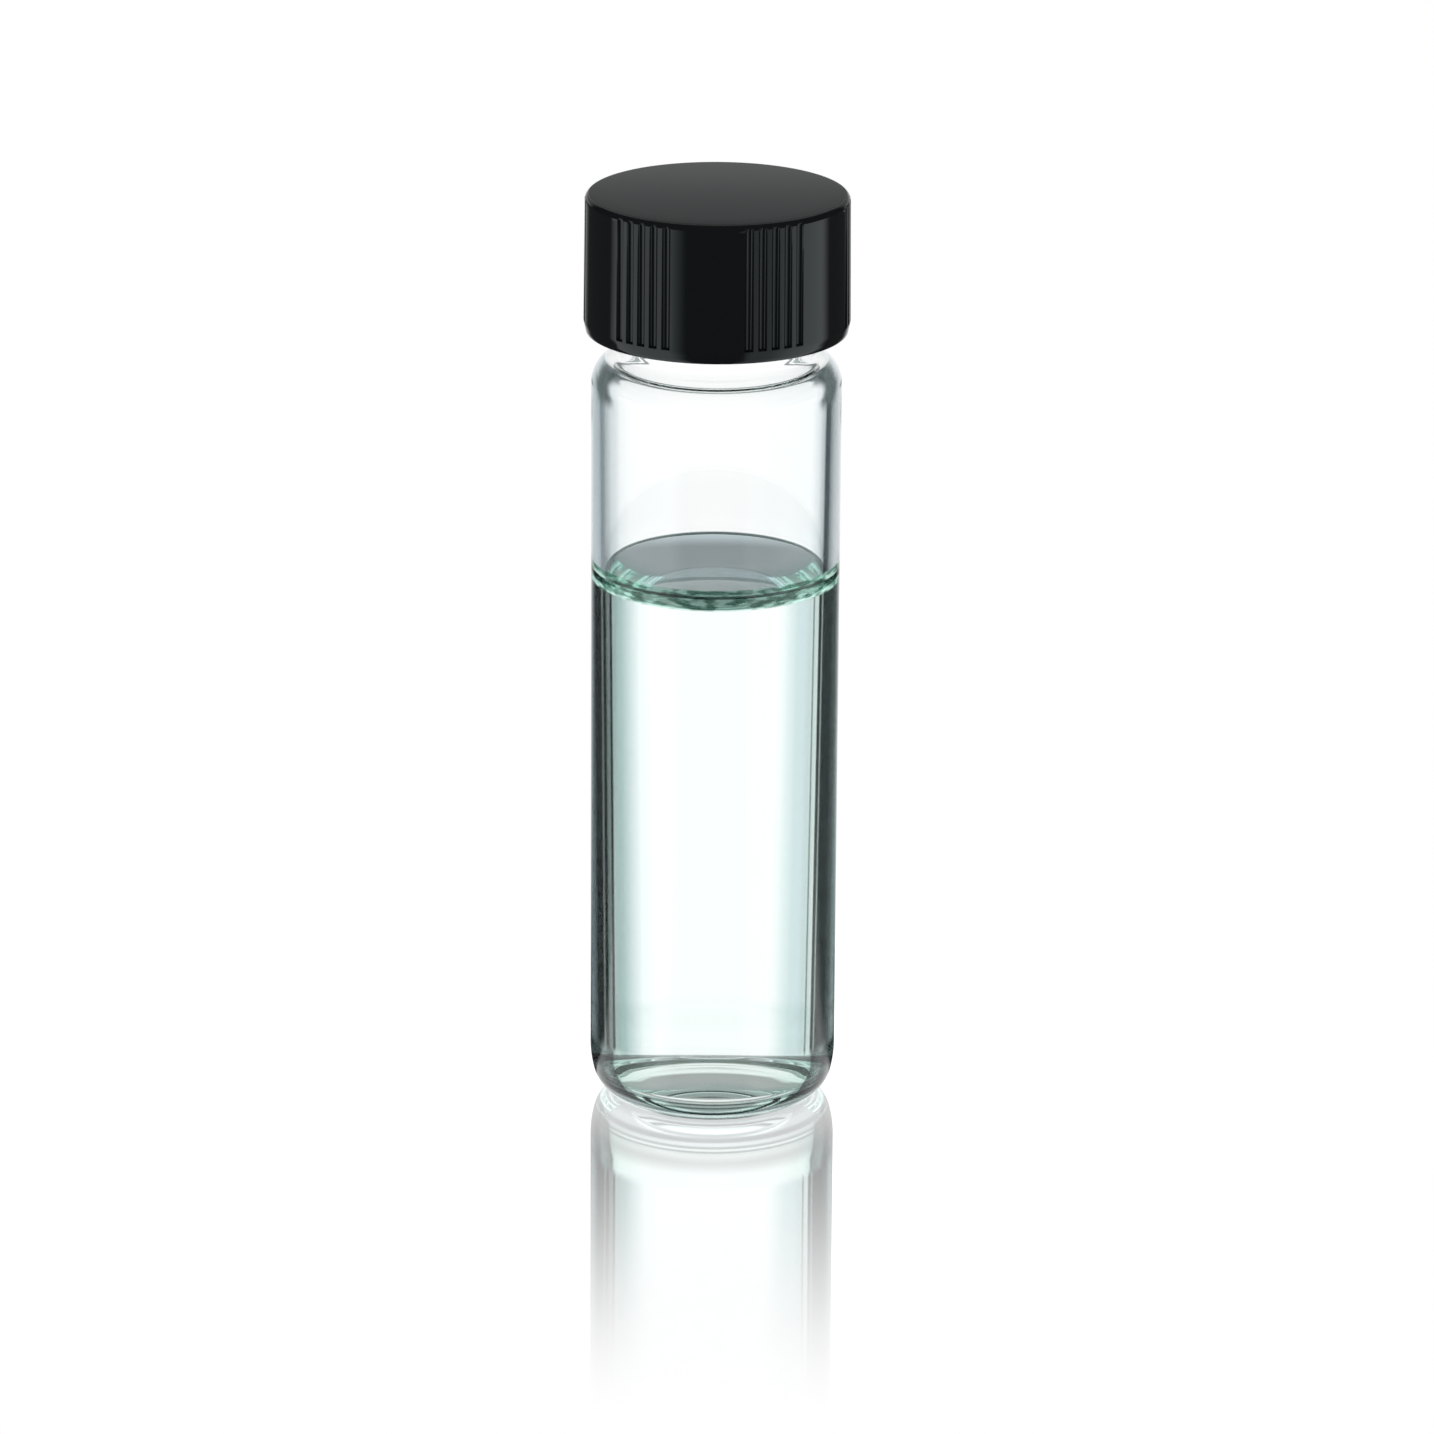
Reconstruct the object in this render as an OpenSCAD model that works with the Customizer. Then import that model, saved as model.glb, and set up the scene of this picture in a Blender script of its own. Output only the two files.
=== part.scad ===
// Glass sample vial: a moulded glass body with a threaded neck, a ribbed screw cap with a
// disc liner, and the liquid it holds.
// Z is the axis, the vial stands on z = 0 and -Y is the front. Sizes are in millimetres.

/* [Glass body] */
// outside diameter of the body
body_d = 16.6; // [16.5:0.1:17.2]
// thickness of the side wall
wall = 0.9; // [0.8:0.05:1.1]
// height of the glass, foot to lip
glass_h = 60; // [58:0.5:70]
// radius of the heel between foot and side
heel_r = 2.2; // [1.8:0.1:2.4]
// large radius that eases the heel into the side
heel_ease_r = 7; // [6.5:0.1:8]
// height where that easing meets the straight side
heel_ease_z = 3.4; // [3.2:0.1:3.8]
// radius of the push-up under the foot
pushup_r = 4.8; // [4:0.1:5.2]
// height of the push-up at its middle
pushup_h = 1.35; // [0.8:0.05:1.5]
// height of the inner floor at its middle, where it rises over the push-up
floor_mid = 2.5; // [2.4:0.1:2.8]
// height of the inner floor at its lowest, in a ring near the wall
floor_low = 1.5; // [1.4:0.1:1.8]
// radius between the inner floor and the side wall
floor_corner_r = 1.2; // [1:0.1:1.6]

/* [Shoulder and neck] */
// height from the top of the shoulder to the lip
neck_h = 8; // [7.8:0.1:9]
// outside radius of the shoulder
shoulder_r = 2.1; // [1.7:0.1:2.4]
// thickness of the glass at the top of the shoulder
shoulder_t = 1; // [0.9:0.05:1.2]
// outside diameter of the neck at the root of its thread
neck_d = 13.1; // [12.9:0.1:13.2]
// diameter over the neck's thread
thread_d = 14.5; // [14.3:0.1:14.6]
// diameter of the neck's bore
bore_d = 11; // [10.4:0.1:11.2]
// radius of the inside bend from the bore into the shoulder
in_root_r = 1.6; // [1.3:0.1:1.8]
// radius of the hollow where neck and shoulder meet
neck_root_r = 0.6; // [0.4:0.05:0.8]
// radius of the outer edge of the lip
lip_out_r = 0.5; // [0.3:0.05:0.5]
// radius of the inner edge of the lip
lip_in_r = 0.4; // [0.3:0.05:0.45]
// rise of the thread in one turn, 12 turns to the inch
pitch = 2.117; // [2.1:0.001:2.13]
// turns of thread on the neck
neck_turns = 1.75; // [1:0.25:2]
// distance from the lip down to the middle of the thread's top end
thread_drop = 1.3; // [1.2:0.05:1.5]

/* [Screw cap] */
// outside diameter at the top of the cap's side
cap_d = 17.5; // [17.3:0.1:18]
// how much wider the side is at its foot
cap_draft = 0.16; // [0:0.02:0.3]
// height of the cap
cap_h = 9.3; // [9.2:0.1:9.6]
// thickness of the cap's top
cap_top_t = 1.5; // [1.2:0.1:1.8]
// radius of the top edge
cap_edge_r = 0.45; // [0.3:0.05:0.5]
// height of the bevel round the foot of the cap
cap_bevel_h = 0.75; // [0.6:0.05:0.8]
// how far that bevel comes in
cap_bevel_in = 0.15; // [0.1:0.01:0.25]
// diameter inside the skirt, between the turns of its thread
cap_bore_d = 14.84; // [14.8:0.02:15]
// diameter inside the cap's thread
cap_thread_d = 13.4; // [13.36:0.02:13.6]
// turns of thread in the cap
cap_turns = 1.5; // [1:0.25:1.75]

/* [Finger grip] */
// groups of grooves round the cap
grip_groups = 6; // [4:1:6]
// grooves in a group
grip_each = 5; // [3:1:5]
// angle between the grooves of a group
grip_step_deg = 6; // [5.5:0.1:6.5]
// angle of a group's middle from the front, counted to the right
grip_turn_deg = 25.75; // [0:0.05:60]
// radius of the round-bottomed groove
groove_r = 0.3; // [0.2:0.02:0.34]
// depth of a groove below the cap's side
groove_depth = 0.26; // [0.15:0.01:0.28]
// distance from the top of the cap to the round end of a groove
groove_top_gap = 0.2; // [0.16:0.02:1]
// distance from the foot of the cap to the square end of a groove, above the bevel
groove_foot_gap = 0.82; // [0.82:0.02:1.4]

/* [Liner] */
// thickness of the liner disc
liner_t = 1.3; // [1:0.1:1.6]
// diameter of the liner disc
liner_d = 14.6; // [14:0.1:14.7]

/* [Liquid] */
// height of the flat middle of the liquid
fill_z = 35.7; // [20:0.1:42]
// how far the liquid climbs the wall
climb = 1.5; // [1:0.1:1.8]
// radius of its curve up the wall
climb_r = 4; // [3:0.1:5]
// gap kept between the liquid and the glass
wet_gap = 0.02; // [0.01:0.01:0.04]

/* [Hidden] */
$fn = 96;
body_r = body_d / 2;
bore_r = bore_d / 2;
neck_r = neck_d / 2;
thread_r = thread_d / 2;
in_r = body_r - wall;
shoulder_z = glass_h - neck_h;
// the heel's small arc touches the foot and, from inside, the easing arc
heel_dx = sqrt(pow(heel_ease_r - heel_r, 2) - pow(heel_ease_z - heel_r, 2));
heel_dz = heel_r - heel_ease_z;
heel_x = body_r - heel_ease_r + heel_dx;
// the shoulder's arc and the hollow that leads it into the neck
arc_x = body_r - shoulder_r;
arc_z = shoulder_z - shoulder_r;
root_x = neck_r + neck_root_r;
root_z = arc_z + sqrt(pow(shoulder_r + neck_root_r, 2) - pow(root_x - arc_x, 2));
// inside, the same two arcs again, an even wall away
in_arc_r = shoulder_r - wall;
in_arc_z = shoulder_z - shoulder_t - in_arc_r;
in_root_x = bore_r + in_root_r;
in_root_z = in_arc_z + sqrt(pow(in_arc_r + in_root_r, 2) - pow(in_root_x - arc_x, 2));
// the push-up is part of a sphere
push_R = (pow(pushup_r, 2) + pow(pushup_h, 2)) / (2 * pushup_h);
// so is the inner floor, which meets the arc of the corner smoothly
corner_x = in_r - floor_corner_r;
corner_z = floor_low + floor_corner_r;
floor_R = (pow(corner_x, 2) + pow(corner_z - floor_mid, 2) - pow(floor_corner_r, 2))
    / (2 * (floor_mid - floor_low));
dome_z = floor_mid - floor_R;
// the cap sits so that its liner rests on the lip
cap_z = glass_h + liner_t + cap_top_t - cap_h;
cap_r = cap_d / 2;
cap_foot_r = cap_r + cap_draft / 2;
cap_bore_r = cap_bore_d / 2;
cap_thread_r = cap_thread_d / 2;
// height of the neck's thread where it starts, at angle 0
thread_z = glass_h - thread_drop - neck_turns * pitch;
// the cap's thread lies midway between the turns of the neck's
cap_thread_z = cap_z + 1.15;
cap_thread_deg = 360 * (cap_thread_z - thread_z + pitch / 2) / pitch;
wet_r = in_r - wet_gap;
climb_x = wet_r - sqrt(pow(climb_r, 2) - pow(climb_r - climb, 2));

// What a convex corner of radius r loses. The corner is at the origin, solid to the lower left.
module corner_loss(r) {
    difference() {
        translate([-r, -r]) square(2 * r);
        translate([-r, -r]) circle(r = r);
        translate([-2 * r, -2 * r]) square([r, 4 * r]);
        translate([-2 * r, -2 * r]) square([4 * r, r]);
    }
}

// A right-handed ridge of thread with a rounded crest, fading out at both ends.
// foot is the radius it is rooted at and crest the radius it reaches; w is its width at the foot.
function fade(i, n, m) = min(1, i / m, (n - i) / m);
function ridge_at(a, z, foot, crest, w) = [
    for (p = [[0, -0.5], [0.72, -0.33], [1, -0.14], [1, 0.14], [0.72, 0.33], [0, 0.5]])
        let (r = foot + p[0] * (crest - foot)) [r * cos(a), r * sin(a), z + p[1] * w]
];

module ridge(z, deg, turns, skin, foot, crest, w) {
    per = 40;
    n = round(turns * per);
    k = 6;
    pts = [
        for (i = [0 : n])
            let (low = skin + 0.06 * sign(foot - skin),
                 top = low + (crest - low) * pow(fade(i, n, 5), 0.6))
            each ridge_at(deg + 360 * i / per, z + pitch * i / per, foot, top, w)
    ];
    side = [
        for (i = [0 : n - 1], j = [0 : k - 1])
            let (a = i * k + j, b = i * k + (j + 1) % k)
            each [[a, a + k, b + k], [a, b + k, b]]
    ];
    turn = crest > foot ? 1 : -1;
    start = [for (j = [0 : k - 1]) j];
    end = [for (j = [k - 1 : -1 : 0]) n * k + j];
    all = concat(side, [start], [end]);
    polyhedron(pts, turn > 0 ? [for (f = all) [for (m = [len(f) - 1 : -1 : 0]) f[m]]] : all, 4);
}

// Outside of the glass from foot to lip, as a half section.
module glass_outline() {
    difference() {
        intersection() {
            square([body_r, heel_ease_z]);
            translate([body_r - heel_ease_r, heel_ease_z]) circle(r = heel_ease_r);
        }
        difference() {
            translate([heel_x, heel_r])
                polygon([[0, 0], [0, -9], [9, -9], 4 * [heel_dx, heel_dz]]);
            translate([heel_x, heel_r]) circle(r = heel_r);
        }
    }
    difference() {
        translate([0, heel_ease_z]) square([body_r, shoulder_z - heel_ease_z]);
        translate([body_r, shoulder_z]) corner_loss(shoulder_r);
    }
    difference() {
        translate([0, arc_z]) square([neck_r, glass_h - arc_z]);
        translate([neck_r, glass_h]) corner_loss(lip_out_r);
    }
    difference() {
        polygon([[arc_x, arc_z], [root_x, root_z], [arc_x, root_z]]);
        translate([root_x, root_z]) circle(r = neck_root_r);
    }
}

// The space inside up to height top, as a half section, with gap left all round: a domed
// floor, round corners and a straight side.
module inside_outline(top, gap) {
    difference() {
        square([in_r - gap, top]);
        translate([0, dome_z]) circle(r = floor_R + gap, $fn = 360);
        difference() {
            translate([corner_x, corner_z])
                polygon([[0, 0], -0.3 * [corner_x, corner_z - dome_z], [0, -9], [9, -9], [9, 0]]);
            translate([corner_x, corner_z]) circle(r = floor_corner_r - gap);
        }
    }
}

// The whole space inside the glass: the body's, the inner shoulder, the bore and the mouth.
module cavity_outline() {
    difference() {
        inside_outline(in_arc_z + in_arc_r, 0);
        translate([in_r, in_arc_z + in_arc_r]) corner_loss(in_arc_r);
    }
    difference() {
        polygon([
            [arc_x, in_arc_z],
            [in_root_x, in_root_z],
            [bore_r - 1, in_root_z],
            [bore_r - 1, in_arc_z]
        ]);
        translate([in_root_x, in_root_z]) circle(r = in_root_r);
    }
    translate([0, in_arc_z]) square([bore_r, glass_h - in_arc_z + 1]);
    translate([bore_r, glass_h]) mirror([1, 0]) corner_loss(lip_in_r);
}

module glass() {
    color([0.86, 0.94, 0.92]) {
        rotate_extrude()
            difference() {
                glass_outline();
                cavity_outline();
                intersection() {
                    translate([0, pushup_h - push_R]) circle(r = push_R);
                    square([pushup_r + 1, pushup_h + 1]);
                }
            }
        ridge(thread_z, 0, neck_turns, neck_r, neck_r - 0.3, thread_r, 1.36);
    }
}

// The liquid fills the floor and side and curves up the wall at its top.
module liquid() {
    color([0.78, 0.93, 0.92])
        rotate_extrude()
            difference() {
                inside_outline(fill_z + climb + 0.5, wet_gap);
                translate([-1, fill_z]) square([climb_x + 1, climb + 1]);
                translate([climb_x, fill_z + climb_r]) circle(r = climb_r);
            }
}

module liner() {
    color([0.9, 0.9, 0.86])
        translate([0, 0, glass_h]) cylinder(h = liner_t, r = liner_d / 2);
}

// Cap shell as a half section, with its foot on z = 0.
module cap_outline() {
    in_h = cap_h - cap_top_t;
    difference() {
        polygon([
            [0, 0],
            [cap_foot_r - cap_bevel_in, 0],
            [cap_foot_r, cap_bevel_h],
            [cap_r, cap_h - cap_edge_r],
            [cap_r, cap_h],
            [0, cap_h]
        ]);
        translate([cap_r, cap_h]) corner_loss(cap_edge_r);
        translate([0, -1]) square([cap_bore_r, in_h + 1]);
        polygon([[0, -1], [cap_bore_r + 0.3, -1], [cap_bore_r + 0.3, 0], [cap_bore_r, 0.3], [0, 0.3]]);
    }
}

// One groove of the grip: a round-bottomed flute with a ball end at the top.
module groove() {
    h = cap_h - groove_top_gap - groove_r - groove_foot_gap;
    translate([0, -(cap_r + cap_draft / 4 + groove_r - groove_depth), cap_z + groove_foot_gap]) {
        cylinder(h = h, r = groove_r);
        translate([0, 0, h]) sphere(r = groove_r);
    }
}

module cap() {
    color([0.07, 0.07, 0.075]) {
        difference() {
            translate([0, 0, cap_z]) rotate_extrude() cap_outline();
            for (g = [0 : grip_groups - 1], i = [0 : grip_each - 1])
                rotate([0, 0, grip_turn_deg + 360 * g / grip_groups
                        + (i - (grip_each - 1) / 2) * grip_step_deg])
                    groove();
        }
        ridge(cap_thread_z, cap_thread_deg, cap_turns, cap_bore_r, cap_bore_r + 0.3, cap_thread_r, 1.3);
    }
}

glass();
liquid();
liner();
cap();
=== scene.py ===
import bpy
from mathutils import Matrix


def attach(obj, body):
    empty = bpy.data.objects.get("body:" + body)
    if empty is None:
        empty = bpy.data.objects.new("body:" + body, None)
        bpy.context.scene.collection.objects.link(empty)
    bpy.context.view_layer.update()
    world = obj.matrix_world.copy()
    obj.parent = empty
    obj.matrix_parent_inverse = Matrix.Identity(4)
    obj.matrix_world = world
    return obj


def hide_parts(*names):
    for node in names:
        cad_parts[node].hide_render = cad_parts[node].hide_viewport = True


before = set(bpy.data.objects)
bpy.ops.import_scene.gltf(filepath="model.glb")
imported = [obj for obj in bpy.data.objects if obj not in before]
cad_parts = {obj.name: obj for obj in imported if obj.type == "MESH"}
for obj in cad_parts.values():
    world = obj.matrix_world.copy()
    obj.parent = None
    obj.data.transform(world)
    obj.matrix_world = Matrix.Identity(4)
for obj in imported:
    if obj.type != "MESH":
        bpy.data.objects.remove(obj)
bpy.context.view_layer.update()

import math

import bpy
import numpy as np
from mathutils import Matrix, Vector

# A glass sample vial: threaded glass body, ribbed screw cap with a liner, and a pale liquid.
# Lengths are in metres, in the part's own frame: Z up along the axis, the foot on z = 0 and
# the front at -Y. The sections follow the vial from the table up to its cap.
MM = 0.001


# ---- Table, light and camera --------------------------------------------------------
# The vial stands on a glossy white sheet in front of a white backdrop, which lights the
# glass from behind. Two soft boxes show in the cap's gloss, by way of the sheet. The
# camera is a long lens a little above the cap.


class Flow:
    """A socket in a node tree. Sums on it add Math nodes, and node() adds any other node."""

    def __init__(self, tree, socket=None):
        self.tree, self.socket = tree, socket

    def node(self, kind, settings=None, values=None, out=0):
        made = self.tree.nodes.new(kind)
        for name, value in (settings or {}).items():
            if name == "stops":
                ramp = made.color_ramp
                while len(ramp.elements) < len(value):
                    ramp.elements.new(1.0)
                for stop, (place, shade) in zip(ramp.elements, value):
                    stop.position = place
                    stop.color = (*shade, 1.0)
            else:
                setattr(made, name, value)
        for name, value in (values or {}).items():
            if isinstance(value, Flow):
                self.tree.links.new(value.socket, made.inputs[name])
            else:
                made.inputs[name].default_value = value
        return Flow(self.tree, made.outputs[out] if len(made.outputs) else None)

    def other(self, name):
        """Another output of the same node."""
        return Flow(self.tree, self.socket.node.outputs[name])

    def maths(self, operation, *values):
        return self.node("ShaderNodeMath", {"operation": operation}, dict(enumerate(values)))

    def __add__(self, b):
        return self.maths("ADD", self, b)

    def __radd__(self, b):
        return self.maths("ADD", b, self)

    def __sub__(self, b):
        return self.maths("SUBTRACT", self, b)

    def __rsub__(self, b):
        return self.maths("SUBTRACT", b, self)

    def __mul__(self, b):
        return self.maths("MULTIPLY", self, b)

    def __rmul__(self, b):
        return self.maths("MULTIPLY", b, self)

    def __truediv__(self, b):
        return self.maths("DIVIDE", self, b)

    def __rtruediv__(self, b):
        return self.maths("DIVIDE", b, self)

    def __pow__(self, b):
        return self.maths("POWER", self, b)

    def __abs__(self):
        return self.maths("ABSOLUTE", self)

    def least(self, b):
        return self.maths("MINIMUM", self, b)

    def most(self, b):
        return self.maths("MAXIMUM", self, b)

    def step(self, start, end, low=0.0, high=1.0):
        """Runs smoothly from low to high as this value goes from start to end."""
        return self.node(
            "ShaderNodeMapRange",
            {"interpolation_type": "SMOOTHSTEP"},
            {"Value": self, "From Min": start, "From Max": end, "To Min": low, "To Max": high},
        )

    def blend(self, a, b):
        """Colour a where this value is 0, b where it is 1."""
        return self.node("ShaderNodeMix", {"data_type": "RGBA"}, {0: self, 6: a, 7: b}, 2)

    def split(self):
        """The x, y and z of this vector."""
        x = self.node("ShaderNodeSeparateXYZ", None, {"Vector": self})
        return x, x.other("Y"), x.other("Z")


def new_material(name):
    """An empty material, and a Flow to build it with."""
    made = bpy.data.materials.new(name)
    made.use_nodes = True
    made.node_tree.nodes.clear()
    return made, Flow(made.node_tree)


def spot(flow):
    """The x, y and z of the shaded point, in the part's frame."""
    return flow.node("ShaderNodeTexCoord", None, None, "Object").split()


def from_axis(x, y):
    return (x * x + y * y) ** 0.5


def ray_kinds(flow):
    """Whether a ray is the camera's own, has come through glass, off gloss, or off a mirror."""
    seen = flow.node("ShaderNodeLightPath", None, None, "Is Camera Ray")
    others = ("Is Transmission Ray", "Is Glossy Ray", "Is Singular Ray")
    return seen, *(seen.other(name) for name in others)


def show(flow, surface, volume=None, kind="ShaderNodeOutputMaterial"):
    links = {"Surface": surface}
    if volume is not None:
        links["Volume"] = volume
    flow.node(kind, None, links)


CAMERA_AT = Vector((0.176 * MM, -472.88 * MM, 182.74 * MM))
LOOKS_DOWN = math.radians(18.28)
LEANS = math.radians(0.384)
LENS, SENSOR = 186.0, 36.0
camera_data = bpy.data.cameras.new("camera")
camera_data.lens = LENS
camera_data.sensor_width = SENSOR
camera_data.clip_start = 0.01
camera_data.clip_end = 20.0
camera = bpy.data.objects.new("camera", camera_data)
camera.matrix_world = (
    Matrix.Translation(CAMERA_AT)
    @ Matrix.Rotation(math.radians(90) - LOOKS_DOWN, 4, "X")
    @ Matrix.Rotation(LEANS, 4, "Z")
)
bpy.context.scene.collection.objects.link(camera)
bpy.context.scene.camera = camera
bpy.context.scene.view_settings.view_transform = "Standard"
# light runs far inside thick glass before it leaves
cycles = bpy.context.scene.cycles
cycles.max_bounces = 40
cycles.glossy_bounces = cycles.transmission_bounces = cycles.transparent_max_bounces = 32

# the backdrop is white near the horizon and dim overhead, and dark to the cap's gloss
WHITE = (1, 1, 1, 1)
OVERWHITE = 1.08
world = bpy.data.worlds.new("studio")
bpy.context.scene.world = world
world.use_nodes = True
world.node_tree.nodes.clear()
sky = Flow(world.node_tree)
_, ahead, up = sky.node("ShaderNodeTexCoord", None, None, "Generated").split()
seen, through, glossy, sharp = ray_kinds(sky)
backdrop = up.step(0.30, 0.48, OVERWHITE, 0.46)
sheen = up.step(0.04, 0.20, 0.52, 0.27) * ahead.step(0.70, 0.84)
indirect = through * backdrop + (1 - through) * (glossy * sheen + (1 - glossy) * 0.75)
indirect = sharp + (1 - sharp) * indirect
light = seen + (1 - seen) * indirect
show(
    sky,
    sky.node("ShaderNodeBackground", None, {"Color": WHITE, "Strength": light}),
    kind="ShaderNodeOutputWorld",
)

# the sheet: white to the eye, with a mirror image of the vial that fades away from its foot
SHEET = 6.0
square = [(-SHEET, -SHEET, 0), (SHEET, -SHEET, 0), (SHEET, SHEET, 0), (-SHEET, SHEET, 0)]
mesh = bpy.data.meshes.new("table_top")
mesh.from_pydata(square, [], [(0, 1, 2, 3)])
table_top = bpy.data.objects.new("table_top", mesh)
bpy.context.scene.collection.objects.link(table_top)
table_top.location.z = -0.01 * MM
sheet, flow = new_material("white_sheet")
x, y, z = spot(flow)
away = from_axis(x, y)
seen, through, glossy, sharp = ray_kinds(flow)
clear = through + (1 - through) * sharp
# to the cap's gloss the sheet is dark but for two soft boxes and a glow behind, by the
# angle round the vial in degrees from the front
turn = flow.maths("ARCTAN2", x, -1 * y) * (180 / math.pi)
left_box = turn.step(-104, -97) * turn.step(-44, -25, 1, 0)
right_box = (turn.step(20, 32, 0, 0.5) + turn.step(42, 74, 0, 0.5)) * turn.step(98, 113, 1, 0)
behind = abs(turn).step(144, 170, 0, 0.8) + abs(turn).step(60, 110, 0, 0.03)
boxes = (left_box + right_box + behind).least(1)
# through glass it is white, but where it is seen steeply it has a painted shadow near the foot,
# and painted shade after many crossings of the glass
slant = flow.node("ShaderNodeLayerWeight", None, {"Blend": 0.5}, "Facing")
crossings = seen.other("Transmission Depth")
shaded = away.step(12 * MM, 22 * MM, 1, 0).most(crossings.step(4.2, 4.8))
dim = OVERWHITE + shaded * (slant.step(0.40, 0.57, 0.32, OVERWHITE) - OVERWHITE)
glow = clear * dim + (1 - clear) * (glossy * boxes + (1 - glossy) * 0.6)
light = seen + (1 - seen) * glow
paper = flow.node("ShaderNodeEmission", None, {"Color": WHITE, "Strength": light})
# the mirror is brighter than life, so that the image clears to white
mirror = flow.node(
    "ShaderNodeBsdfGlossy", None, {"Color": (1.35, 1.35, 1.35, 1), "Roughness": 0.0}
)
fading = away.step(6 * MM, 57 * MM, 0.75, 0.0) * away.step(8 * MM, 16 * MM, 0.6, 1.0)
show(flow, flow.node("ShaderNodeMixShader", None, {0: seen * fading, 1: paper, 2: mirror}))
table_top.data.materials.append(sheet)


# ---- Glass body ---------------------------------------------------------------------
# One piece of moulded soda-lime glass, faintly green where it is thick: foot with a
# shallow push-up, round heel, straight side, round shoulder, threaded neck and lip.

BODY_R, WALL, GLASS_H = 8.3 * MM, 0.9 * MM, 60 * MM
HEEL_R, EASE_R, EASE_Z = 2.2 * MM, 7 * MM, 3.4 * MM
PUSH_R, PUSH_H = 4.8 * MM, 1.35 * MM
FLOOR_MID, FLOOR_Z, FLOOR_CORNER = 2.5 * MM, 1.5 * MM, 1.2 * MM
SHOULDER_Z, SHOULDER_R, SHOULDER_T = 52 * MM, 2.1 * MM, 1.0 * MM
NECK_R, BORE_R, ROOT_R, IN_ROOT_R = 6.55 * MM, 5.5 * MM, 0.6 * MM, 1.6 * MM
LIP_R, LIP_IN_R = 0.5 * MM, 0.4 * MM
THREAD_R, PITCH, TURNS, THREAD_DROP, RIDGE_W = 7.25 * MM, 2.117 * MM, 1.75, 1.3 * MM, 1.36 * MM
GLASS_IOR, LIQUID_IOR = 1.52, 1.335
GLASS_TINT = (0.62, 0.90, 0.80)
GLASS_DENSITY = 28.0
FILL_Z, WET_TO = 35.7 * MM, 37.2 * MM
INNER_R = BODY_R - WALL
THREAD_Z = GLASS_H - THREAD_DROP - TURNS * PITCH
COLUMNS = 288
PLAIN_COLUMNS = np.arange(COLUMNS) * 2 * math.pi / COLUMNS


def arc(centre, radius, start, end, parts):
    """Points (r, z) on an arc of the half section, from one angle to another in degrees."""
    angles = [math.radians(a) for a in np.linspace(start, end, parts + 1)]
    return [(centre[0] + radius * math.cos(a), centre[1] + radius * math.sin(a)) for a in angles]


def straight(start, end, parts):
    """Points on a straight line of the half section."""
    return [
        (start[0] + (end[0] - start[0]) * t, start[1] + (end[1] - start[1]) * t)
        for t in np.linspace(0, 1, parts + 1)
    ]


def turned(name, section, angles=PLAIN_COLUMNS):
    """Turns a closed half section round the axis. It runs from the axis, round the outside and
    back to the axis, so the two poles close it."""
    rings = [p for i, p in enumerate(section) if i == 0 or math.dist(p, section[i - 1]) > 1e-7]
    columns = len(angles)
    points = [(0, 0, rings[0][1])]
    for r, h in rings[1:-1]:
        points += [(r * math.cos(a), r * math.sin(a), h) for a in angles]
    points.append((0, 0, rings[-1][1]))
    faces = []
    for c in range(columns):
        d = (c + 1) % columns
        faces.append((0, 1 + d, 1 + c))
        for k in range(len(rings) - 3):
            a, b = 1 + k * columns, 1 + (k + 1) * columns
            faces.append((a + c, a + d, b + d, b + c))
        last = 1 + (len(rings) - 3) * columns
        faces.append((last + c, last + d, len(points) - 1))
    mesh = bpy.data.meshes.new(name)
    mesh.from_pydata(points, [], faces)
    made = bpy.data.objects.new(name, mesh)
    bpy.context.scene.collection.objects.link(made)
    return made


def new_tree(name, inputs):
    """A Geometry Nodes group with these named number inputs, a Flow at its start, and a Flow
    for each input."""
    tree = bpy.data.node_groups.new(name, "GeometryNodeTree")
    tree.interface.new_socket("Geometry", in_out="INPUT", socket_type="NodeSocketGeometry")
    tree.interface.new_socket("Geometry", in_out="OUTPUT", socket_type="NodeSocketGeometry")
    for label in inputs:
        tree.interface.new_socket(label, in_out="INPUT", socket_type="NodeSocketFloat")
    tree.interface.new_socket("Material", in_out="INPUT", socket_type="NodeSocketMaterial")
    start = Flow(tree).node("NodeGroupInput")
    return tree, start, {label: start.other(label) for label in [*inputs, "Material", "Geometry"]}


def end_tree(start, geometry, moved, material):
    """Moves the points outwards by `moved` metres and ends the tree."""
    x, y, _ = start.node("GeometryNodeInputPosition").split()
    outward = start.node("ShaderNodeCombineXYZ", None, {"X": x, "Y": y})
    outward = start.node("ShaderNodeVectorMath", {"operation": "NORMALIZE"}, {0: outward})
    shift = start.node("ShaderNodeVectorMath", {"operation": "SCALE"}, {0: outward, "Scale": moved})
    shaped = start.node("GeometryNodeSetPosition", None, {"Geometry": geometry, "Offset": shift})
    shaped = start.node("GeometryNodeRealizeInstances", None, {"Geometry": shaped})
    shaped = start.node("GeometryNodeSetMaterial", None, {"Geometry": shaped, "Material": material})
    start.node("NodeGroupOutput", None, {"Geometry": shaped})


def grown(made, tree, values):
    """Runs a tree on a turned piece with these inputs and keeps the result as its plain mesh."""
    modifier = made.modifiers.new(tree.name, "NODES")
    modifier.node_group = tree
    for item in tree.interface.items_tree:
        if item.in_out == "INPUT" and item.name in values:
            modifier[item.identifier] = values[item.name]
    bpy.context.view_layer.update()
    finished = made.evaluated_get(bpy.context.evaluated_depsgraph_get())
    made_mesh = bpy.data.meshes.new_from_object(finished)
    made.modifiers.remove(modifier)
    made.data = made_mesh


def smooth(made, angle):
    """Shades a piece smooth, but for its edges sharper than this angle in degrees."""
    made.data.polygons.foreach_set("use_smooth", [True] * len(made.data.polygons))
    made.data.set_sharp_from_angle(angle=math.radians(angle))


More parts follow.
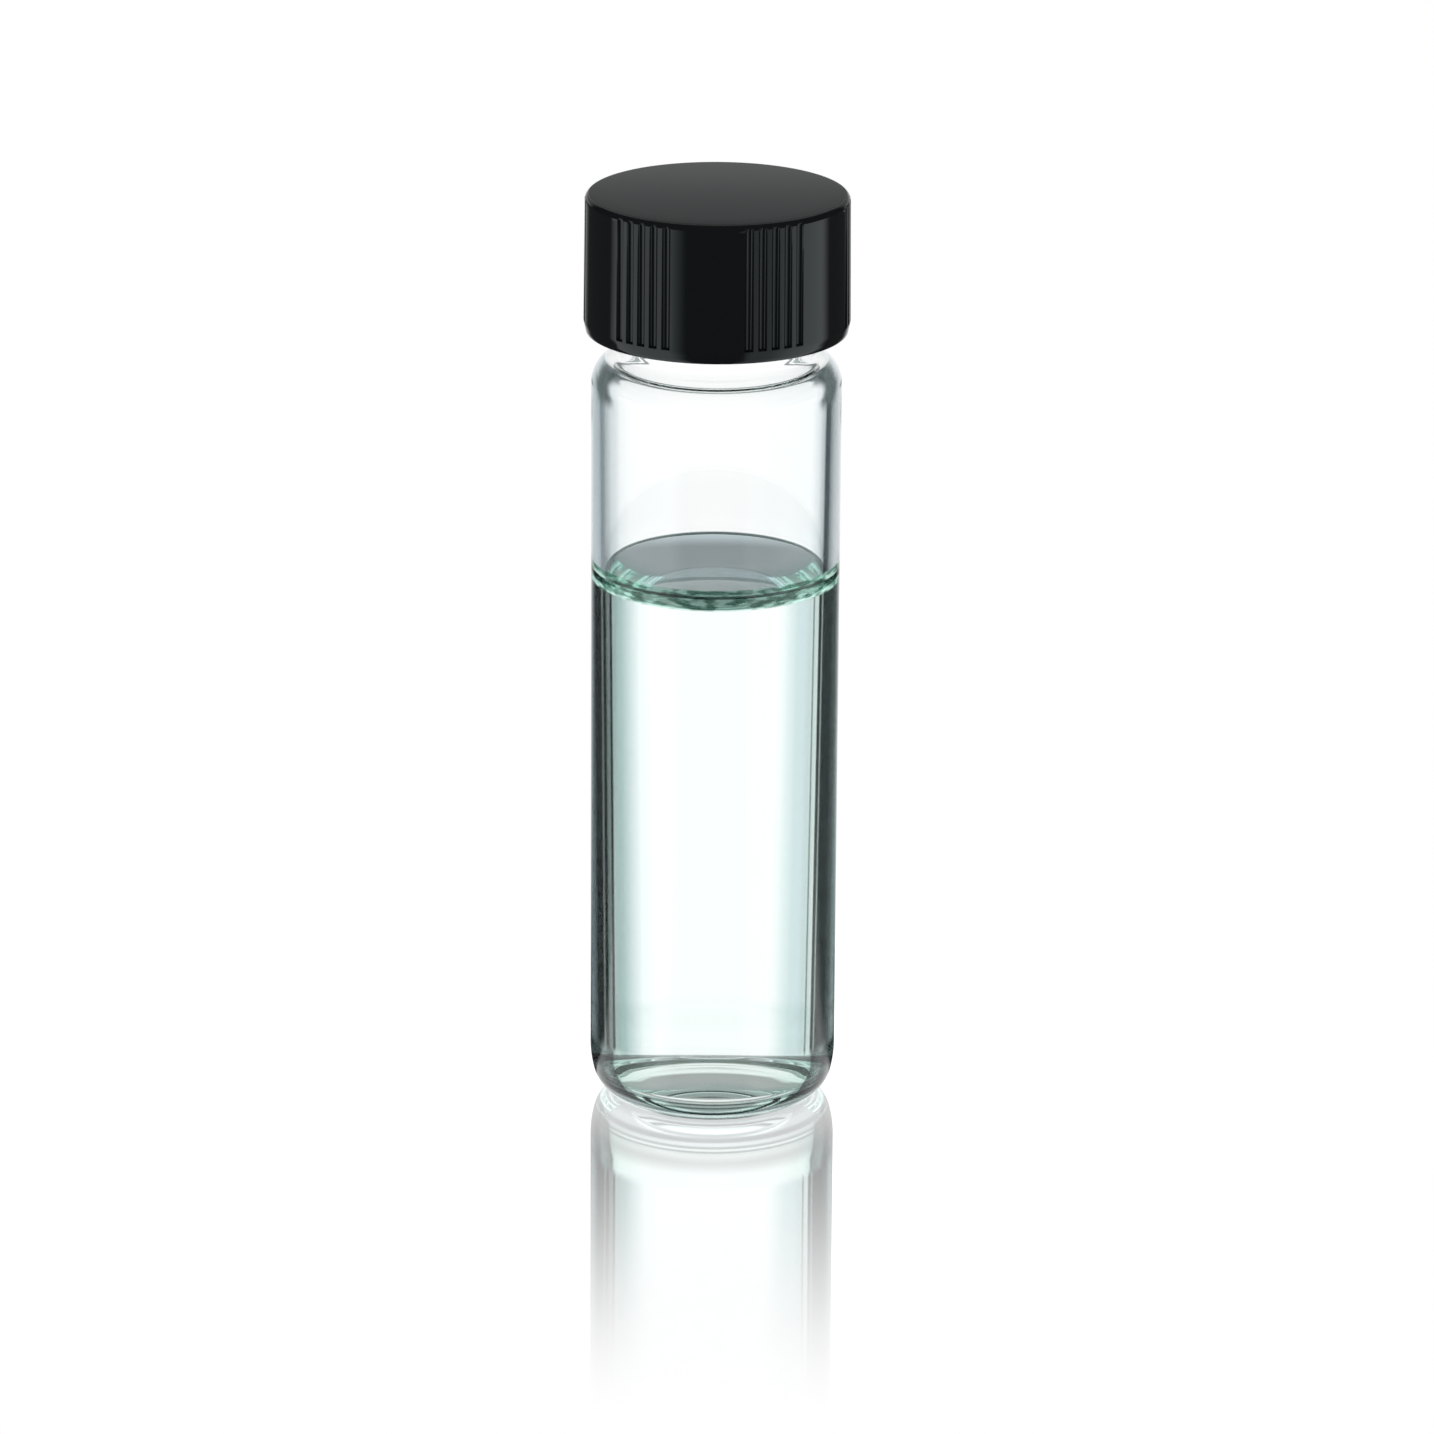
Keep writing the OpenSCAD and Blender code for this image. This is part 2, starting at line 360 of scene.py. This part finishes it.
# thread: a right-handed ridge that winds up a turned wall and fades at both ends
thread_tree, start, at = new_tree(
    "screw_thread",
    ["Wall Radius", "Start Height", "Start Turn", "Pitch", "Turns", "Ridge Height", "Ridge Width"],
)
x, y, z = start.node("GeometryNodeInputPosition").split()
part_turn = start.maths("ARCTAN2", y, x) / (2 * math.pi) - at["Start Turn"]
part_turn = start.maths("FRACT", part_turn)
turns_up = (z - at["Start Height"]) / at["Pitch"] - part_turn
whole = start.maths("ROUND", turns_up)
off_line = abs(turns_up - whole) * at["Pitch"] / at["Ridge Width"]
along = whole + part_turn
ends = along.step(0, 0.14) * (at["Turns"] - along).step(0, 0.14)
on_wall = abs(from_axis(x, y) - at["Wall Radius"]).step(0.01 * MM, 0.03 * MM, 1, 0)
ridge = ends * on_wall * at["Ridge Height"] * off_line.step(0.12, 0.48, 1, 0)
end_tree(start, at["Geometry"], ridge, at["Material"])

# outside, from the push-up to the lip: the heel eases into the straight side
heel_dx = math.sqrt((EASE_R - HEEL_R) ** 2 - (EASE_Z - HEEL_R) ** 2)
heel_x = BODY_R - EASE_R + heel_dx
heel_turn = math.degrees(math.atan2(HEEL_R - EASE_Z, heel_dx))
arc_x, arc_z = BODY_R - SHOULDER_R, SHOULDER_Z - SHOULDER_R
root_x = NECK_R + ROOT_R
root_z = arc_z + math.sqrt((SHOULDER_R + ROOT_R) ** 2 - (root_x - arc_x) ** 2)
root_turn = math.degrees(math.atan2(root_z - arc_z, root_x - arc_x))
sphere_r = (PUSH_R**2 + PUSH_H**2) / (2 * PUSH_H)
push_turn = math.degrees(math.asin(PUSH_R / sphere_r))
outside = (
    arc((0, PUSH_H - sphere_r), sphere_r, 90, 90 - push_turn, 12)
    + [(PUSH_R + 0.2 * MM, 0)]
    + arc((heel_x, HEEL_R), HEEL_R, -90, heel_turn, 16)
    + arc((BODY_R - EASE_R, EASE_Z), EASE_R, heel_turn, 0, 8)
    + straight((BODY_R, EASE_Z), (BODY_R, arc_z), 12)[1:]
    + arc((arc_x, arc_z), SHOULDER_R, 0, root_turn, 20)[1:]
    + arc((root_x, root_z), ROOT_R, 180 + root_turn, 180, 8)[1:]
    + straight((NECK_R, root_z), (NECK_R, GLASS_H - LIP_R), 80)[1:]
    + arc((NECK_R - LIP_R, GLASS_H - LIP_R), LIP_R, 0, 90, 8)[1:]
)
# inside, from the lip to the middle of the domed floor
in_arc_r = SHOULDER_R - WALL
in_arc_z = SHOULDER_Z - SHOULDER_T - in_arc_r
in_root_x = BORE_R + IN_ROOT_R
in_root_z = in_arc_z + math.sqrt((in_arc_r + IN_ROOT_R) ** 2 - (in_root_x - arc_x) ** 2)
in_root_turn = math.degrees(math.atan2(in_root_z - in_arc_z, in_root_x - arc_x))
corner_x, corner_z = INNER_R - FLOOR_CORNER, FLOOR_Z + FLOOR_CORNER
floor_reach = corner_x**2 + (corner_z - FLOOR_MID) ** 2 - FLOOR_CORNER**2
floor_r = floor_reach / (2 * (FLOOR_MID - FLOOR_Z))
dome_z = FLOOR_MID - floor_r
floor_turn = math.degrees(math.atan2(corner_z - dome_z, corner_x))
inside = (
    arc((BORE_R + LIP_IN_R, GLASS_H - LIP_IN_R), LIP_IN_R, 90, 180, 8)
    + straight((BORE_R, GLASS_H - LIP_IN_R), (BORE_R, in_root_z), 8)[1:]
    + arc((in_root_x, in_root_z), IN_ROOT_R, 180, 180 + in_root_turn, 12)[1:]
    + arc((arc_x, in_arc_z), in_arc_r, in_root_turn, 0, 14)[1:]
    + straight((INNER_R, in_arc_z), (INNER_R, WET_TO), 6)[1:]
    + straight((INNER_R, WET_TO), (INNER_R, corner_z), 14)[1:]
    + arc((corner_x, corner_z), FLOOR_CORNER, 0, floor_turn - 180, 20)[1:]
    + arc((0, dome_z), floor_r, floor_turn, 90, 12)[1:]
)

# Painted shade and light: a glass tube draws the dark edges of a room as lines along its rim,
# and these lines are painted into the glass's colour. Each ramp gives their colours by how far
# round the wall has turned from the eye, 0 face on and 1 at the rim: left and right, where the
# tube is full and where it is empty, and round the heel.
FULL_LEFT = [
    (0.50, (1.0, 1.0, 1.0)), (0.60, (0.90, 0.94, 0.94)), (0.684, (0.61, 0.70, 0.70)),
    (0.75, (0.37, 0.50, 0.49)), (0.79, (0.33, 0.44, 0.42)), (0.82, (0.33, 0.42, 0.42)),
    (0.83, (0.03, 0.035, 0.035)), (0.838, (0.03, 0.035, 0.035)), (0.848, (0.19, 0.23, 0.22)),
    (0.87, (0.15, 0.19, 0.18)), (0.878, (0.03, 0.035, 0.035)), (0.892, (0.03, 0.035, 0.035)),
    (0.905, (0.21, 0.24, 0.23)), (0.915, (0.03, 0.035, 0.035)), (0.955, (0.03, 0.037, 0.037)),
    (1.0, (0.26, 0.30, 0.32)),
]
FULL_RIGHT = [
    (0.50, (1.0, 1.0, 1.0)), (0.55, (0.90, 0.94, 0.94)), (0.593, (0.78, 0.86, 0.85)),
    (0.658, (0.64, 0.745, 0.755)), (0.723, (0.61, 0.71, 0.73)), (0.76, (0.545, 0.65, 0.64)),
    (0.782, (0.54, 0.66, 0.65)), (0.787, (0.2, 0.24, 0.23)), (0.795, (0.2, 0.24, 0.23)),
    (0.80, (0.56, 0.65, 0.63)), (0.826, (0.60, 0.69, 0.67)), (0.834, (0.03, 0.035, 0.035)),
    (0.848, (0.03, 0.035, 0.035)), (0.858, (0.33, 0.40, 0.38)), (0.868, (0.04, 0.05, 0.05)),
    (0.93, (0.04, 0.05, 0.05)), (0.97, (0.13, 0.15, 0.15)), (1.0, (0.40, 0.45, 0.46)),
]
EMPTY_LEFT = [
    (0.0, (1.0, 1.0, 1.0)), (0.66, (0.96, 0.97, 0.98)), (0.74, (0.87, 0.89, 0.90)),
    (0.82, (0.68, 0.73, 0.75)), (0.87, (0.40, 0.45, 0.47)), (0.885, (0.28, 0.32, 0.34)),
    (0.907, (0.28, 0.32, 0.34)), (0.912, (0.42, 0.48, 0.50)), (0.96, (0.68, 0.75, 0.78)),
    (1.0, (0.9, 0.93, 0.95)),
]
EMPTY_RIGHT = [
    (0.0, (1.0, 1.0, 1.0)), (0.74, (0.94, 0.96, 0.97)), (0.81, (0.78, 0.82, 0.84)),
    (0.852, (0.46, 0.50, 0.52)), (0.862, (0.08, 0.10, 0.11)), (0.892, (0.10, 0.12, 0.13)),
    (0.90, (0.24, 0.28, 0.29)), (0.92, (0.42, 0.46, 0.48)), (0.96, (0.8, 0.83, 0.85)),
    (1.0, (0.95, 0.97, 0.98)),
]
HEEL = [
    (0.0, (0.985, 1.0, 0.99)), (0.60, (0.91, 0.95, 0.935)), (0.80, (0.74, 0.86, 0.82)),
    (0.835, (0.56, 0.70, 0.65)), (0.85, (0.10, 0.13, 0.13)), (0.92, (0.22, 0.27, 0.27)),
    (0.95, (0.08, 0.10, 0.10)), (1.0, (0.12, 0.14, 0.15)),
]
# painted light and shade: the light and dark rings that the near wall of the heel bends out of
# the sheet, by share of this height
RINGS_TOP = 2 * MM
FOOT_RINGS = [
    (0.0, (0.40, 0.44, 0.46)), (0.10, (0.40, 0.44, 0.46)), (0.24, (0.95, 0.98, 0.99)),
    (0.36, (0.85, 0.90, 0.92)), (0.44, (0.22, 0.26, 0.27)), (0.52, (0.25, 0.29, 0.30)),
    (0.58, (0.95, 0.98, 0.99)), (0.65, (0.9, 0.95, 0.96)), (0.69, (0.35, 0.40, 0.40)),
    (0.73, (0.35, 0.40, 0.40)), (0.765, (0.95, 1.0, 0.98)), (0.80, (0.9, 0.95, 0.94)),
    (0.85, (0.2, 0.24, 0.25)), (0.90, (0.78, 0.84, 0.82)), (1.0, (1.0, 1.0, 1.0)),
]
SQUARE_ON = 0.95  # 1 - Facing at the middle of an upright wall, seen from a little above
LINES_Z, LINES_DRAW_IN = 29 * MM, 0.9  # below this height the lines lie further in, per metre
STREAKS_ROUND, STREAKS_UP = 7, 2600  # streaks in a radian and in a metre of height


def ramp(place, stops):
    """The colour at this place along the stops."""
    return place.node("ShaderNodeValToRGB", {"stops": stops}, {0: place})


def times(a, b):
    """One colour multiplied by another."""
    return a.node("ShaderNodeVectorMath", {"operation": "MULTIPLY"}, {0: a, 1: b})


def glass(flow, ior, colour=WHITE):
    return flow.node(
        "ShaderNodeBsdfPrincipled",
        None,
        {"Base Color": colour, "Roughness": 0.01, "IOR": ior, "Transmission Weight": 1.0},
    )


def absorb(flow, tint, density):
    return flow.node("ShaderNodeVolumeAbsorption", None, {"Color": (*tint, 1), "Density": density})


clear_glass, flow = new_material("clear_glass")
x, y, z = spot(flow)
radius = from_axis(x, y)
inner = radius.step(INNER_R + 0.01 * MM, INNER_R + 0.02 * MM, 1, 0)
inner = inner * z.step(FLOOR_Z - 0.02 * MM, FLOOR_Z - 0.01 * MM)
wet = inner * z.step(WET_TO, WET_TO + 0.01 * MM, 1, 0)
near_side = 1 - flow.node("ShaderNodeNewGeometry", None, None, "Backfacing")
facing = flow.node("ShaderNodeLayerWeight", None, {"Blend": 0.5}, "Facing")
level = ((1 - facing) / SQUARE_ON).least(1)
turned_away = (1 - level * level) ** 0.5 + (LINES_Z - z) * LINES_DRAW_IN
# the straight side, full and empty, with its painted rim lines
right = x.step(-1 * MM, 1 * MM)
full = right.blend(ramp(turned_away, FULL_LEFT), ramp(turned_away, FULL_RIGHT))
empty = right.blend(ramp(turned_away, EMPTY_LEFT), ramp(turned_away, EMPTY_RIGHT))
colour = z.step(WET_TO - 0.2 * MM, WET_TO + 0.4 * MM).blend(full, empty)
# the foot: painted dark lines round the heel, and painted light and dark rings
painted_heel_lines = z.step(0.9 * MM, 1.3 * MM).blend(WHITE, ramp(turned_away, HEEL))
rings = near_side.blend(WHITE, ramp(z / RINGS_TOP, FOOT_RINGS))
colour = z.step(4.0 * MM, 4.8 * MM).blend(times(painted_heel_lines, rings), colour)
# where the liquid climbs the wall the glass is painted green, with painted streaks of light and shade
swirl = {"X": flow.maths("ARCTAN2", x, -1 * y) * STREAKS_ROUND, "Y": z * STREAKS_UP}
swirl = flow.node("ShaderNodeCombineXYZ", None, swirl)
painted_streaks = flow.node("ShaderNodeTexNoise", None, {"Vector": swirl, "Scale": 1.0, "Detail": 1.0})
painted_streaks = painted_streaks.step(0.40, 0.62).blend((0.17, 0.32, 0.26, 1), (0.66, 0.92, 0.82, 1))
painted_climb_band = near_side * z.step(WET_TO - 0.7 * MM, WET_TO - 0.5 * MM)
painted_climb_band = painted_climb_band * z.step(WET_TO + 0.7 * MM, WET_TO + 0.85 * MM, 1, 0)
colour = painted_climb_band.blend(colour, painted_streaks)
# only the outer wall has these painted colours, from the edge of the push-up outwards
outer = (1 - inner) * radius.step(PUSH_R, PUSH_R + 0.3 * MM)
colour = outer.blend(WHITE, colour)
# painted shade: a dark band where the side turns into the shoulder, a little way in from the rim
painted_shoulder_shade = z.step(SHOULDER_Z - 3 * MM, SHOULDER_Z - 2 * MM)
painted_shoulder_shade = painted_shoulder_shade * z.step(SHOULDER_Z - 0.6 * MM, SHOULDER_Z - 0.2 * MM, 1, 0)
painted_shoulder_shade = painted_shoulder_shade * turned_away.step(0.78, 0.84) * turned_away.step(0.90, 0.95, 1, 0)
colour = painted_shoulder_shade.blend(colour, (0.14, 0.17, 0.17, 1))
# painted shade: a thin dark line round the inside, where the wetting edge of the liquid meets the
# glass
painted_wet_line = inner * z.step(WET_TO + 0.16 * MM, WET_TO + 0.26 * MM, 1, 0)
colour = painted_wet_line.blend(colour, (0.06, 0.10, 0.10, 1))
# squared, because a crossing of the glass takes on the square root of its colour
bare_glass = glass(flow, GLASS_IOR, times(colour, colour))
wetted_glass = glass(flow, GLASS_IOR / LIQUID_IOR)
show(
    flow,
    flow.node("ShaderNodeMixShader", None, {0: wet, 1: bare_glass, 2: wetted_glass}),
    absorb(flow, GLASS_TINT, GLASS_DENSITY),
)

vial_glass = turned("vial_glass", outside + inside)
grown(
    vial_glass,
    thread_tree,
    {
        "Wall Radius": NECK_R,
        "Start Height": THREAD_Z,
        "Start Turn": 0.0,
        "Pitch": PITCH,
        "Turns": TURNS,
        "Ridge Height": THREAD_R - NECK_R,
        "Ridge Width": RIDGE_W,
        "Material": clear_glass,
    },
)
smooth(vial_glass, 60)
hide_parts("glass")
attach(vial_glass, "vial")


# ---- Liquid ------------------------------------------------------------------------
# A thin watery sample, pale teal, poured in to a little over half the height of the glass.
# It wets the wall and curves up it at the top.

CLIMB, CLIMB_R, WET_GAP = WET_TO - FILL_Z, 4 * MM, 0.02 * MM
LIQUID_TINT = (0.60, 0.95, 0.93)
LIQUID_DENSITY = 8.0
wet_r = INNER_R - WET_GAP
climb_x = wet_r - math.sqrt(CLIMB_R**2 - (CLIMB_R - CLIMB) ** 2)
climb_turn = math.degrees(math.asin((wet_r - climb_x) / CLIMB_R))
section = (
    arc((0, dome_z), floor_r + WET_GAP, 90, floor_turn, 12)
    + arc((corner_x, corner_z), FLOOR_CORNER - WET_GAP, floor_turn - 180, 0, 20)
    + straight((wet_r, corner_z), (wet_r, FILL_Z + CLIMB), 14)[1:]
    + arc((climb_x, FILL_Z + CLIMB_R), CLIMB_R, -90 + climb_turn, -90, 16)[1:]
    + [(climb_x * 0.6, FILL_Z), (climb_x * 0.3, FILL_Z), (0, FILL_Z)]
)
sample = turned("liquid_sample", section)
smooth(sample, 50)
teal_water, flow = new_material("sample_liquid")
x, y, z = spot(flow)
normal = flow.node("ShaderNodeNewGeometry", None, None, "True Normal")
_, _, upward = normal.split()
surface = z.step(FILL_Z - 0.02 * MM, FILL_Z - 0.01 * MM) * abs(upward).step(0.02, 0.03)
# painted shade and light: the skin is painted dark green at the front and pale at the back, and
# a lighter green along the front wall
painted_skin = y.step(-4 * MM, 5 * MM).blend((0.08, 0.25, 0.21, 1), (0.60, 0.82, 0.90, 1))
painted_front_wall = from_axis(x, y).step(4.3 * MM, 5.4 * MM) * y.step(1 * MM, 4 * MM, 1, 0)
painted_skin = painted_front_wall.blend(painted_skin, (0.22, 0.60, 0.45, 1))
painted_skin = normal.other("Backfacing").blend(painted_skin, WHITE)
see_through = flow.node("ShaderNodeBsdfTransparent", None, {"Color": WHITE})
painted_skin = glass(flow, LIQUID_IOR, painted_skin)
show(
    flow,
    flow.node("ShaderNodeMixShader", None, {0: surface, 1: see_through, 2: painted_skin}),
    absorb(flow, LIQUID_TINT, LIQUID_DENSITY),
)
sample.data.materials.append(teal_water)
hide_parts("liquid")
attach(sample, "vial")


# ---- Liner -------------------------------------------------------------------------
# A round disc of pale foamed plastic, pressed between the lip and the inside of the cap.
# The cap hides it until it is unscrewed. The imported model's own disc is kept.

foam, flow = new_material("foam_liner")
matt = flow.node(
    "ShaderNodeBsdfPrincipled", None, {"Base Color": (0.86, 0.86, 0.82, 1), "Roughness": 0.7}
)
show(flow, matt)
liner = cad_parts["liner"].data
liner.materials.clear()
liner.materials.append(foam)


# ---- Screw cap ----------------------------------------------------------------------
# A black moulded screw cap, glossy round the side and satin on top, with six groups of
# round-bottomed grooves as a finger grip and a thread inside. The liner sits in its top.

CAP_R, CAP_FOOT_R, CAP_Z, CAP_TOP = 8.75 * MM, 8.83 * MM, 53.5 * MM, 62.8 * MM
TOP_T, EDGE_R, BEVEL_H, BEVEL_IN = 1.5 * MM, 0.45 * MM, 0.75 * MM, 0.15 * MM
MOUTH = 0.3 * MM
CAP_BORE_R, CAP_THREAD_R, CAP_TURNS, CAP_RIDGE_W = 7.42 * MM, 6.7 * MM, 1.5, 1.3 * MM
CAP_THREAD_Z = CAP_Z + 1.15 * MM
GROUPS, EACH, GROOVE_STEP, GRIP_TURN = 6, 5, 6.0, 25.75
GROOVE_R, GROOVE_DEPTH = 0.3 * MM, 0.26 * MM
GROOVE_TOP, GROOVE_FOOT = CAP_TOP - 0.2 * MM - GROOVE_R, CAP_Z + 0.82 * MM
BUNCHED, LAND_EDGE = 1.32, 0.35  # crowding of columns to a groove's edge, and the next one's gap
CROWN = 5  # the top is shaded as a dome that falls by this times the radius squared

# grooves: flutes with a ball end at the top and a square foot, in groups round the side
groove_tree, start, at = new_tree(
    "grip_grooves",
    ["Side Radius", "Groups", "Each", "Step", "Turn", "Groove Radius", "Groove Depth", "Top", "Foot"],
)
x, y, z = start.node("GeometryNodeInputPosition").split()
radius = from_axis(x, y)
spacing = 360 / at["Groups"]
angle = start.maths("ARCTAN2", x, -1 * y) * (180 / math.pi) - at["Turn"]
in_group = angle - spacing * start.maths("ROUND", angle / spacing)
half = (at["Each"] - 1) / 2
nearest = start.maths("ROUND", in_group / at["Step"] + half).least(at["Each"] - 1).most(0) - half
across = (in_group - nearest * at["Step"]) * (math.pi / 180) * radius
above = (z - at["Top"]).most(0)
reach = across * across + above * above
bulge = (at["Groove Radius"] * at["Groove Radius"] - reach).most(0) ** 0.5
bottom = at["Side Radius"] + at["Groove Radius"] - at["Groove Depth"] - bulge
cut = (radius - bottom).most(0) * start.maths("GREATER_THAN", z, at["Foot"])
end_tree(start, at["Geometry"], -1 * cut, at["Material"])

# columns of the turned cap, in degrees: close together across each groove, few between
half_groove = math.degrees(math.sqrt(GROOVE_R**2 - (GROOVE_R - GROOVE_DEPTH) ** 2) / CAP_R)
over_groove = half_groove * np.sin(np.linspace(-BUNCHED, BUNCHED, 17)) / math.sin(BUNCHED)
land = GROOVE_STEP - 2 * half_groove
gap = 360 / GROUPS - EACH * GROOVE_STEP
columns = []
for group in range(GROUPS):
    middle = GRIP_TURN + 360 * group / GROUPS
    for i in range(EACH):
        columns += list(middle + (i - (EACH - 1) / 2) * GROOVE_STEP + over_groove)
        columns += [columns[-1] + LAND_EDGE, columns[-1] + land - LAND_EDGE]
    columns += list(columns[-1] + gap * np.linspace(0.1, 0.9, 10))
columns = np.radians(np.array(columns) - 90)


def side_r(z):
    """Radius of the cap's side at a height, with its draft and its rounded top edge."""
    low, high = CAP_Z + BEVEL_H, CAP_TOP - EDGE_R
    side = CAP_FOOT_R + (CAP_R - CAP_FOOT_R) * (min(z, high) - low) / (high - low)
    return side - EDGE_R + math.sqrt(EDGE_R**2 - max(z - high, 0) ** 2)


def up_side(heights):
    return [(side_r(h), h) for h in heights]


ledge = CAP_TOP - TOP_T
section = (
    [(0, ledge), (3 * MM, ledge), (CAP_BORE_R - 0.1 * MM, ledge)]
    + straight((CAP_BORE_R, ledge - 0.1 * MM), (CAP_BORE_R, CAP_Z + MOUTH), 44)
    + [(CAP_BORE_R + MOUTH, CAP_Z), (CAP_FOOT_R - BEVEL_IN - 0.06 * MM, CAP_Z)]
    + straight((CAP_FOOT_R - BEVEL_IN, CAP_Z + 0.05 * MM), (CAP_FOOT_R, CAP_Z + BEVEL_H), 3)
    + up_side([GROOVE_FOOT - 0.01 * MM, GROOVE_FOOT + 0.001 * MM, GROOVE_FOOT + 0.06 * MM])
    + up_side(np.linspace(GROOVE_FOOT + 0.5 * MM, GROOVE_TOP, 5))
    + up_side(GROOVE_TOP + GROOVE_R * np.sin(np.linspace(0.2, 1.25, 8)))
    + arc((CAP_R - EDGE_R, CAP_TOP - EDGE_R), EDGE_R, 36, 90, 9)
    + [(7 * MM, CAP_TOP), (4 * MM, CAP_TOP), (0, CAP_TOP)]
)
screw_cap = turned("screw_cap", section, columns)
# its thread lies half a pitch from the neck's, between that thread's turns
grown(
    screw_cap,
    thread_tree,
    {
        "Wall Radius": CAP_BORE_R,
        "Start Height": CAP_THREAD_Z,
        "Start Turn": (CAP_THREAD_Z - THREAD_Z) / PITCH + 0.5,
        "Pitch": PITCH,
        "Turns": CAP_TURNS,
        "Ridge Height": CAP_THREAD_R - CAP_BORE_R,
        "Ridge Width": CAP_RIDGE_W,
    },
)
black, flow = new_material("cap_black")
x, y, z = spot(flow)
on_top = z.step(CAP_TOP - 0.05 * MM, CAP_TOP - 0.01 * MM)
crowned = (x * x + y * y) * -CROWN * on_top
plastic = flow.node(
    "ShaderNodeBsdfPrincipled",
    None,
    {
        "Base Color": (0.0088, 0.0103, 0.0110, 1),
        "Roughness": on_top * 0.22 + 0.08,
        "Specular Tint": (0.87, 0.98, 1.0, 1),
        "Normal": flow.node("ShaderNodeBump", None, {"Distance": 1.0, "Height": crowned}),
    },
)
show(flow, plastic)
grown(
    screw_cap,
    groove_tree,
    {
        "Side Radius": (CAP_R + CAP_FOOT_R) / 2,
        "Groups": float(GROUPS),
        "Each": float(EACH),
        "Step": GROOVE_STEP,
        "Turn": GRIP_TURN,
        "Groove Radius": GROOVE_R,
        "Groove Depth": GROOVE_DEPTH,
        "Top": GROOVE_TOP,
        "Foot": GROOVE_FOOT,
        "Material": black,
    },
)
smooth(screw_cap, 40)
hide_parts("cap")
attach(screw_cap, "cap")
